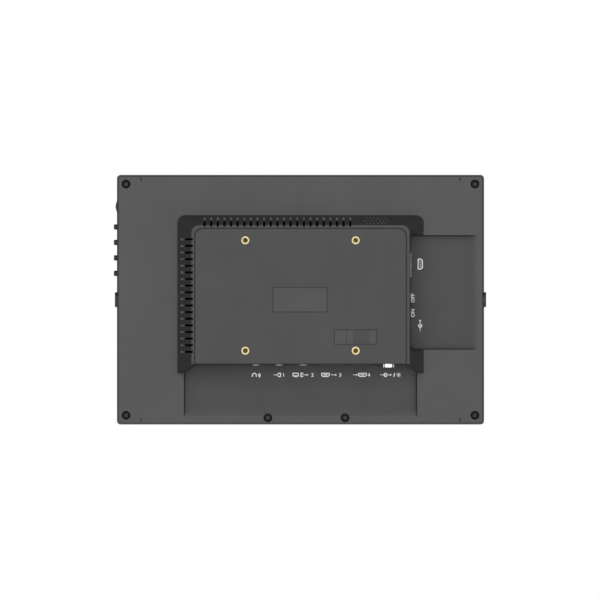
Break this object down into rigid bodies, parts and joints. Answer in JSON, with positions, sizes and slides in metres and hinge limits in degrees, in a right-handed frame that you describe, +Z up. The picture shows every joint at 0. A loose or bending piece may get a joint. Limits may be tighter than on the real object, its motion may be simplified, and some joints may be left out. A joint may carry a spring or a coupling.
{
  "type": "camera field monitor",
  "caption": "Flat field monitor with a raised rear hump, side keys and thumbwheel, connector bays, slide power switch, square rear screw mount and side yoke sockets.",
  "frame": {"origin": "centre of the 75 mm insert square, on the rear face of the hump", "axes": "+X to the right of a person facing the screen, +Y out of the rear, +Z up"},
  "size_m": [0.2533, 0.03, 0.1699],
  "materials": {
    "casing": "fine moulded texture",
    "bezel": "fine moulded texture",
    "screw_black": "black oxide",
    "brass": "machined",
    "steel": "plain",
    "plated": "nickel plated",
    "label": "printed film",
    "foam": "closed foam",
    "glass": "anti-glare",
    "cell": "dark panel",
    "guide": "clear",
    "aluminium": "black coated",
    "board": "solder mask",
    "chip": "moulded",
    "key": "satin",
    "insulator": "moulded",
    "jack": "moulded",
    "ribbon": "black film",
    "black_steel": "blackened",
    "black_nickel": "black nickel plated",
    "cone": "film"
  },
  "bodies": {
    "monitor": {"rear_cover": "casing", "front_bezel": "bezel", "cover_screws": "screw_black", "mount_inserts": "brass", "yoke_socket_left": "black_steel", "yoke_socket_right": "black_steel", "rating_label": "label", "serial_label": "label", "screen_gasket": "foam", "screen_glass": "glass", "lcd_cell": "cell", "light_guide": "guide", "led_strip": "guide", "panel_chassis": "aluminium", "panel_brackets": "steel", "main_board": "board", "video_processor": "chip", "heat_sink": "aluminium", "capacitors": "aluminium", "ear_jack": "jack", "av_in_jack": "jack", "video_out_jack": "jack", "digital_out_socket": "black_nickel", "digital_in_socket": "black_nickel", "digital_tongues": "insulator", "tally_socket": "plated", "tally_ring_nut": "plated", "dsub_shell": "black_nickel", "dsub_insulator": "insulator", "power_switch_body": "steel", "dc_jack": "insulator", "dc_jack_pin": "plated", "key_board": "board", "key_switches": "chip", "dial_frame": "steel", "dial_push_switch": "chip", "speaker_gasket": "foam", "speaker_frame": "chip", "speaker_cone": "cone", "speaker_magnet": "steel", "panel_driver_board": "board", "panel_ribbon": "ribbon", "key_ribbon": "ribbon", "small_screws": "steel"},
    "key_1": {"button_1": "key", "switch_plunger_1": "key"},
    "key_2": {"button_2": "key", "switch_plunger_2": "key"},
    "key_3": {"button_3": "key", "switch_plunger_3": "key"},
    "key_4": {"button_4": "key", "switch_plunger_4": "key"},
    "dial_base": {"dial_carrier": "key", "dial_clip": "steel"},
    "dial": {"dial_wheel": "key"},
    "power_knob": {"power_switch_knob": "key"}
  },
  "joints": [
    {"name": "key_1_press", "type": "slide", "parent": "monitor", "child": "key_1", "axis": [-1, 0, 0], "range_m": [0, 0.0007], "stiffness_N_per_m": 600, "springref_m": -0.0015},
    {"name": "key_2_press", "type": "slide", "parent": "monitor", "child": "key_2", "axis": [-1, 0, 0], "range_m": [0, 0.0007], "stiffness_N_per_m": 600, "springref_m": -0.0015},
    {"name": "key_3_press", "type": "slide", "parent": "monitor", "child": "key_3", "axis": [-1, 0, 0], "range_m": [0, 0.0007], "stiffness_N_per_m": 600, "springref_m": -0.0015},
    {"name": "key_4_press", "type": "slide", "parent": "monitor", "child": "key_4", "axis": [-1, 0, 0], "range_m": [0, 0.0007], "stiffness_N_per_m": 600, "springref_m": -0.0015},
    {"name": "dial_press", "type": "slide", "parent": "monitor", "child": "dial_base", "axis": [-1, 0, 0], "range_m": [0, 0.0005], "stiffness_N_per_m": 800, "springref_m": -0.0015},
    {"name": "dial_turn", "type": "hinge", "parent": "dial_base", "child": "dial", "pos_m": [0.1181, -0.018, 0.0606], "axis": [0, 1, 0], "continuous": true},
    {"name": "power_slide", "type": "slide", "parent": "monitor", "child": "power_knob", "axis": [0, 0, -1], "range_m": [0, 0.002]}
  ]
}
